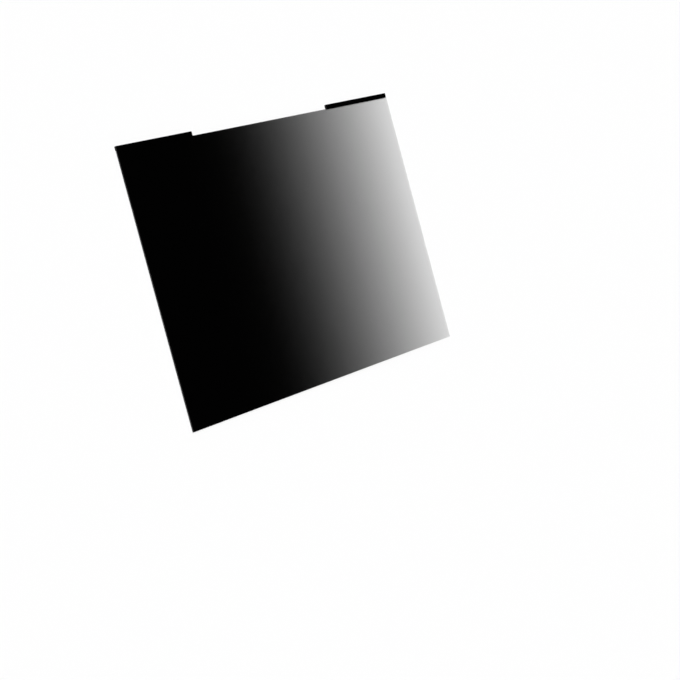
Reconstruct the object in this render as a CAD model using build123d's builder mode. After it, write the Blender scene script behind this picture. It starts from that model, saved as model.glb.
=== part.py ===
"""Privacy filter of the wide 15.6 inch size.

One thin sheet of micro-louvre film is die-cut with two low ears at the ends of
its top edge. Behind each ear a strip of flexible magnet is bonded with black
double-sided tape. The strips hold the filter by its top edge, and the stretch
between them is left open.

Frame: the filter lies on its magnet strips with its viewing face up.
X runs across the width, +Y towards the edge with the ears, +Z out of the
viewing face. The origin is the middle of the outline, at the magnets' backs.
"""

import os

from build123d import *

os.makedirs("parts", exist_ok=True)

# ---------------------------------------------------------------- dimensions, mm
film_width = 344.0  # across, nominal 15.6 inch size
film_height = 193.5  # down, without the ears (16:9)
film_thickness = 0.5  # laminated sheet

ear_length = 86.0  # a quarter of the width, at each end of the top edge
ear_height = 3.2  # how far an ear stands above the top edge

corner_radius = 0.6  # outer corners of the die cut
relief_radius = 0.4  # inner corner where an ear rises from the top edge
edge_break = 0.06  # rounding the cutting die leaves along both rims of the sheet

magnet_thickness = 0.8  # flexible ferrite strip
magnet_inset = 0.10  # strip is cut back from the ear's outline all round
magnet_corner = 0.5
magnet_edge = 0.08  # broken edge round the strip's back face

tape_thickness = 0.1  # black double-sided tape
tape_inset = 0.06  # tape is cut back from the ear's outline, clear of its rounded rim
tape_corner = 0.54

# ---------------------------------------------------------------- derived places
half_width = film_width / 2
total_height = film_height + ear_height
y_bottom = -total_height / 2
y_top = y_bottom + film_height  # top edge between the ears
y_ear = total_height / 2  # top of the ears
x_ear = half_width - ear_length  # inner end of an ear

z_tape = magnet_thickness
z_film = z_tape + tape_thickness
z_front = z_film + film_thickness

ear_mid_x = half_width - ear_length / 2
ear_mid_y = y_top + ear_height / 2

magnet_length = ear_length - 2 * magnet_inset
magnet_height = ear_height - 2 * magnet_inset
tape_length = ear_length - 2 * tape_inset
tape_height = ear_height - 2 * tape_inset

# ---------------------------------------------------------------- film
# A single sheet: a rectangle with an ear at each end of its top edge.
with BuildPart() as privacy_film:
    with BuildSketch(Plane.XY.offset(z_film)) as film_cut:
        with BuildLine():
            Polyline(
                (-half_width, y_bottom),
                (half_width, y_bottom),
                (half_width, y_ear),
                (x_ear, y_ear),
                (x_ear, y_top),
                (-x_ear, y_top),
                (-x_ear, y_ear),
                (-half_width, y_ear),
                close=True,
            )
        make_face()
        # the two inner corners, where the ears rise from the top edge
        inner = [
            v
            for v in film_cut.vertices()
            if abs(v.Y - y_top) < 1e-6 and abs(abs(v.X) - x_ear) < 1e-6
        ]
        fillet(inner, radius=relief_radius)
        outer = [
            v
            for v in film_cut.vertices()
            if (abs(abs(v.X) - half_width) < 1e-6)
            or (abs(v.Y - y_ear) < 1e-6 and abs(abs(v.X) - x_ear) < 1e-6)
        ]
        fillet(outer, radius=corner_radius)
    extrude(amount=film_thickness)
    # both rims are very slightly rounded by the cut
    rims = privacy_film.faces().filter_by(Axis.Z)
    fillet(rims.edges(), radius=edge_break)
privacy_film.part.label = "privacy_film"
export_step(privacy_film.part, "parts/privacy_film.step")

# ---------------------------------------------------------------- magnet strips
with BuildPart() as left_magnet_strip:
    with BuildSketch(Plane.XY):
        with Locations((-ear_mid_x, ear_mid_y)):
            RectangleRounded(magnet_length, magnet_height, magnet_corner)
    extrude(amount=magnet_thickness)
    back_face = left_magnet_strip.faces().sort_by(Axis.Z)[0]
    chamfer(back_face.edges(), length=magnet_edge)
left_magnet_strip.part.label = "left_magnet_strip"
export_step(left_magnet_strip.part, "parts/left_magnet_strip.step")

with BuildPart() as right_magnet_strip:
    with BuildSketch(Plane.XY):
        with Locations((ear_mid_x, ear_mid_y)):
            RectangleRounded(magnet_length, magnet_height, magnet_corner)
    extrude(amount=magnet_thickness)
    back_face = right_magnet_strip.faces().sort_by(Axis.Z)[0]
    chamfer(back_face.edges(), length=magnet_edge)
right_magnet_strip.part.label = "right_magnet_strip"
export_step(right_magnet_strip.part, "parts/right_magnet_strip.step")

# ---------------------------------------------------------------- adhesive tapes
# Each tape fills the gap between a magnet's front and the back of its ear.
with BuildPart() as left_adhesive_tape:
    with BuildSketch(Plane.XY.offset(z_tape)):
        with Locations((-ear_mid_x, ear_mid_y)):
            RectangleRounded(tape_length, tape_height, tape_corner)
    extrude(amount=tape_thickness)
left_adhesive_tape.part.label = "left_adhesive_tape"
export_step(left_adhesive_tape.part, "parts/left_adhesive_tape.step")

with BuildPart() as right_adhesive_tape:
    with BuildSketch(Plane.XY.offset(z_tape)):
        with Locations((ear_mid_x, ear_mid_y)):
            RectangleRounded(tape_length, tape_height, tape_corner)
    extrude(amount=tape_thickness)
right_adhesive_tape.part.label = "right_adhesive_tape"
export_step(right_adhesive_tape.part, "parts/right_adhesive_tape.step")

print(f"outline {film_width} x {total_height} x {z_front} mm")
print(f"top edge at y {y_top}, ears to y {y_ear}, inner ends at x +-{x_ear}")
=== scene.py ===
import math

import bpy
from mathutils import Matrix, Vector

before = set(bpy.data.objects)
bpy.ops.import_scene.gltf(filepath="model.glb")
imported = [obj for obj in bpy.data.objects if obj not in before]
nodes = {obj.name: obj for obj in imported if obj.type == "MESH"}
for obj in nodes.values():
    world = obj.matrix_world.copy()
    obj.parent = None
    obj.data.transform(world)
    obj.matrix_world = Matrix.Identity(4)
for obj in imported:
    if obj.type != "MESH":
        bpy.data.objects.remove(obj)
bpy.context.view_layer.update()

scene = bpy.context.scene

# ------------------------------------------------------------------ sizes, metres
FILM_WIDTH = 0.344
TOP_EDGE = 0.09515  # the edge between the ears
EAR_END = 0.086  # inner end of an ear, from the middle


# ------------------------------------------------------------------ node helpers
class Graph:
    """A short way to write a shader graph."""

    def __init__(self, name):
        self.mat = bpy.data.materials.new(name)
        self.mat.use_nodes = True
        self.tree = self.mat.node_tree
        self.tree.nodes.clear()
        self.out = self.add("ShaderNodeOutputMaterial")

    def add(self, kind, **settings):
        n = self.tree.nodes.new(kind)
        for key, value in settings.items():
            setattr(n, key, value)
        return n

    def link(self, a, b):
        self.tree.links.new(a, b)

    def put(self, socket, value):
        if isinstance(value, bpy.types.NodeSocket):
            self.link(value, socket)
        else:
            socket.default_value = value

    def math(self, op, a, b=None, c=None, clamp=False):
        n = self.add("ShaderNodeMath", operation=op, use_clamp=clamp)
        for i, value in enumerate((a, b, c)):
            if value is not None:
                self.put(n.inputs[i], value)
        return n.outputs[0]

    def noise(self, vector, scale, detail=3.0, roughness=0.55):
        n = self.add("ShaderNodeTexNoise")
        self.link(vector, n.inputs["Vector"])
        n.inputs["Scale"].default_value = scale
        n.inputs["Detail"].default_value = detail
        n.inputs["Roughness"].default_value = roughness
        return n.outputs["Fac"]

    def span(self, value, low, high, to_low, to_high):
        n = self.add("ShaderNodeMapRange")
        self.link(value, n.inputs["Value"])
        for key, x in (
            ("From Min", low),
            ("From Max", high),
            ("To Min", to_low),
            ("To Max", to_high),
        ):
            n.inputs[key].default_value = x
        return n.outputs["Result"]

    def bump(self, height, strength, distance):
        n = self.add("ShaderNodeBump")
        self.link(height, n.inputs["Height"])
        n.inputs["Strength"].default_value = strength
        n.inputs["Distance"].default_value = distance
        return n.outputs["Normal"]

    def principled(self, **values):
        n = self.add("ShaderNodeBsdfPrincipled")
        for key, value in values.items():
            self.put(n.inputs[key.replace("_", " ")], value)
        return n


def wear(obj, mat):
    """Gives a piece this one material."""
    obj.data.materials.clear()
    obj.data.materials.append(mat)


# ------------------------------------------------------------------ film material
def film_material():
    """Smooth tinted polyester sheet: solid black at the left, clearing evenly to a light grey at the right.

    The two ears are printed solid black, and the die-cut rim is a little duller and paler than the faces.
    """
    g = Graph("louvre_film")
    coords = g.add("ShaderNodeTexCoord")
    place = coords.outputs["Object"]
    xyz = g.add("ShaderNodeSeparateXYZ")
    g.link(place, xyz.inputs[0])
    slope = g.add("ShaderNodeSeparateXYZ")
    g.link(coords.outputs["Normal"], slope.inputs[0])
    face = g.span(g.math("ABSOLUTE", slope.outputs[2]), 0.3, 0.8, 0.0, 1.0)

    # how light a white ground looks through the sheet, as a display value: nothing
    # over the left third, then a soft start and an even rise to the right edge
    start, toe = (0.3764 - 0.5) * FILM_WIDTH, 0.0652 * FILM_WIDTH
    along = g.math("DIVIDE", g.math("SUBTRACT", xyz.outputs[0], start), toe)
    rise = g.math("LOGARITHM", g.math("ADD", g.math("EXPONENT", along), 1.0), math.e)
    shown = g.math("MULTIPLY", rise, 359.8 / 255.0 * 0.0652)
    # display value to light, less what the two faces mirror away, then the fourth
    # root: the light crosses a face of the sheet twice on its way to the ground and
    # twice on its way back
    lit = g.math(
        "MULTIPLY",
        shown,
        g.math(
            "MULTIPLY_ADD",
            shown,
            g.math("MULTIPLY_ADD", shown, 0.3053, 0.6822),
            0.0125,
        ),
    )
    tint = g.math("POWER", g.math("MULTIPLY", lit, 0.9), 0.25, clamp=True)
    # the print on the ears, which runs 0.3 mm past them onto the sheet
    at_ear = g.span(g.math("ABSOLUTE", xyz.outputs[0]), EAR_END - 0.00002, EAR_END + 0.00002, 0.0, 1.0)
    begins = g.math("MULTIPLY_ADD", at_ear, -0.00037, TOP_EDGE + 0.00007)
    bare = g.span(g.math("SUBTRACT", xyz.outputs[1], begins), -0.00002, 0.00002, 1.0, 0.0)
    clear = g.math("MULTIPLY", tint, bare)
    clear = g.math("MULTIPLY", clear, g.span(face, 0.0, 1.0, 0.8, 1.0))

    grain = g.noise(place, 2600.0, 2.0, 0.5)
    cloud = g.noise(place, 160.0, 4.0, 0.6)
    sheen = g.span(cloud, 0.3, 0.7, 0.205, 0.225)
    colour = g.add("ShaderNodeMix", data_type="RGBA")
    g.link(face, colour.inputs["Factor"])
    colour.inputs[6].default_value = (0.0060, 0.0060, 0.0063, 1.0)  # cut rim
    colour.inputs[7].default_value = (0.0003, 0.0003, 0.0003, 1.0)  # faces
    sheet = g.principled(
        Base_Color=colour.outputs[2],
        Roughness=g.math("ADD", sheen, g.span(face, 0.0, 1.0, 0.3, 0.0)),
        IOR=1.45,
        Alpha=g.math("SUBTRACT", 1.0, clear),
        Normal=g.bump(grain, 0.06, 0.00002),
    )
    g.link(sheet.outputs[0], g.out.inputs["Surface"])
    return g.mat


def magnet_material():
    """Flexible ferrite strip: matt black with a fine gritty grain, and faint streaks along its length."""
    g = Graph("magnet_rubber")
    place = g.add("ShaderNodeTexCoord").outputs["Object"]
    grit = g.noise(place, 5200.0, 4.0, 0.6)
    stretch = g.add("ShaderNodeMapping")
    g.link(place, stretch.inputs["Vector"])
    stretch.inputs["Scale"].default_value = (60.0, 3600.0, 3600.0)
    streak = g.noise(stretch.outputs[0], 1.0, 3.0, 0.5)
    colour = g.add("ShaderNodeValToRGB")
    g.link(streak, colour.inputs["Fac"])
    colour.color_ramp.elements[0].position = 0.3
    colour.color_ramp.elements[0].color = (0.006, 0.006, 0.0062, 1)
    colour.color_ramp.elements[1].position = 0.7
    colour.color_ramp.elements[1].color = (0.013, 0.0128, 0.0126, 1)
    relief = g.math("MULTIPLY_ADD", streak, 0.5, grit)
    p = g.principled(
        Base_Color=colour.outputs["Color"],
        Roughness=g.span(grit, 0.3, 0.7, 0.62, 0.82),
        Normal=g.bump(relief, 0.35, 0.00005),
    )
    p.inputs["Specular IOR Level"].default_value = 0.35
    g.link(p.outputs[0], g.out.inputs["Surface"])
    return g.mat


def tape_material():
    """Black double-sided tape."""
    g = Graph("black_tape")
    place = g.add("ShaderNodeTexCoord").outputs["Object"]
    fibre = g.noise(place, 1800.0, 3.0, 0.6)
    colour = g.add("ShaderNodeValToRGB")
    g.link(fibre, colour.inputs["Fac"])
    colour.color_ramp.elements[0].position = 0.3
    colour.color_ramp.elements[0].color = (0.0022, 0.0022, 0.0023, 1)
    colour.color_ramp.elements[1].position = 0.7
    colour.color_ramp.elements[1].color = (0.0042, 0.0042, 0.0043, 1)
    p = g.principled(
        Base_Color=colour.outputs["Color"],
        Roughness=g.span(fibre, 0.3, 0.7, 0.5, 0.66),
        Normal=g.bump(fibre, 0.2, 0.00003),
    )
    p.inputs["Specular IOR Level"].default_value = 0.2
    g.link(p.outputs[0], g.out.inputs["Surface"])
    return g.mat


film = film_material()
magnet = magnet_material()
tape = tape_material()
wear(nodes["privacy_film"], film)
for side in ("left", "right"):
    wear(nodes[f"{side}_magnet_strip"], magnet)
    wear(nodes[f"{side}_adhesive_tape"], tape)

# ------------------------------------------------------------------ floor and light
bpy.ops.mesh.primitive_plane_add(size=80.0, location=(0, 0, 0))
floor = bpy.context.object
floor.name = "studio_floor"
g = Graph("pale_floor")
p = g.principled(Base_Color=(0.88, 0.88, 0.88, 1.0), Roughness=0.9)
p.inputs["Specular IOR Level"].default_value = 0.0
g.link(p.outputs[0], g.out.inputs["Surface"])
wear(floor, g.mat)

# One large soft light, high on the left. It lights the set only: what the sheet
# mirrors of it is the pale panel in the room below.
key_way = Vector((-0.462, 0.192, 0.866)).normalized()
sun_data = bpy.data.lights.new("key", "SUN")
sun_data.energy = 3.42
sun_data.angle = math.radians(24)
sun = bpy.data.objects.new("key", sun_data)
sun.rotation_euler = key_way.to_track_quat("Z", "Y").to_euler()
sun.visible_glossy = False
scene.collection.objects.link(sun)

# A pale room, brightest near the ground and dim overhead, with the key's soft panel
# and a dark flag on the far right, so that the sheet isn't veiled by a reflection of
# the wall there.
world = bpy.data.worlds.new("studio")
scene.world = world
world.use_nodes = True
wt = world.node_tree
wt.nodes.clear()


def w_add(kind, **settings):
    n = wt.nodes.new(kind)
    for key, value in settings.items():
        setattr(n, key, value)
    return n


def w_math(op, a, b):
    n = w_add("ShaderNodeMath", operation=op)
    for socket, value in zip(n.inputs, (a, b)):
        if isinstance(value, bpy.types.NodeSocket):
            wt.links.new(value, socket)
        else:
            socket.default_value = value
    return n.outputs[0]


def w_span(value, low, high, to_low, to_high):
    n = w_add("ShaderNodeMapRange", interpolation_type="SMOOTHSTEP")
    wt.links.new(value, n.inputs["Value"])
    for key, x in (("From Min", low), ("From Max", high), ("To Min", to_low), ("To Max", to_high)):
        n.inputs[key].default_value = x
    return n.outputs["Result"]


w_way = w_add("ShaderNodeTexCoord").outputs["Generated"]
w_dir = w_add("ShaderNodeSeparateXYZ")
wt.links.new(w_way, w_dir.inputs[0])
x, y, z = w_dir.outputs[0], w_dir.outputs[1], w_dir.outputs[2]
across = w_math("SQRT", w_math("ADD", w_math("MULTIPLY", x, x), w_math("MULTIPLY", y, y)), 0.0)
flag = w_span(w_math("DIVIDE", x, w_math("MAXIMUM", across, 0.0001)), 0.25, 0.82, 1.0, 0.0)
wall = w_math("MULTIPLY", w_span(z, 0.0, 0.85, 0.30, 0.0), flag)
w_dot = w_add("ShaderNodeVectorMath", operation="DOT_PRODUCT")
wt.links.new(w_way, w_dot.inputs[0])
w_dot.inputs[1].default_value = key_way
panel = w_span(w_dot.outputs["Value"], math.cos(math.radians(33)), math.cos(math.radians(8)), 0.0, 1.0)
room = w_math("ADD", w_math("ADD", wall, panel), 0.003)

w_path = w_add("ShaderNodeLightPath")
w_mix = w_add("ShaderNodeMixShader")
w_room = w_add("ShaderNodeBackground")
w_room.inputs["Color"].default_value = (1, 1, 1, 1)
wt.links.new(room, w_room.inputs["Strength"])
w_pale = w_add("ShaderNodeBackground")
w_pale.inputs["Color"].default_value = (1, 1, 1, 1)
w_pale.inputs["Strength"].default_value = 1.0
wt.links.new(w_path.outputs["Is Camera Ray"], w_mix.inputs[0])
wt.links.new(w_room.outputs[0], w_mix.inputs[1])
wt.links.new(w_pale.outputs[0], w_mix.inputs[2])
wt.links.new(w_mix.outputs[0], w_add("ShaderNodeOutputWorld").inputs["Surface"])

scene.view_settings.view_transform = "Standard"
scene.view_settings.look = "None"

# ------------------------------------------------------------------ camera
# The photograph's view: from the left of the sheet, 35 degrees above its face, with
# the eared edge up in the picture.
cam_data = bpy.data.cameras.new("camera")
cam_data.sensor_width = 36.0
cam_data.lens = 126.6823
cam_data.clip_start, cam_data.clip_end = 0.01, 200.0
cam = bpy.data.objects.new("camera", cam_data)
right = Vector((0.533267, -0.260102, 0.804968))
up = Vector((0.187164, 0.964253, 0.187580))
back = Vector((-0.824982, 0.050631, 0.562886))
cam.matrix_world = Matrix(
    (
        (right.x, up.x, back.x, -1.422177),
        (right.y, up.y, back.y, 0.016202),
        (right.z, up.z, back.z, 0.987478),
        (0, 0, 0, 1),
    )
)
scene.collection.objects.link(cam)
scene.camera = cam
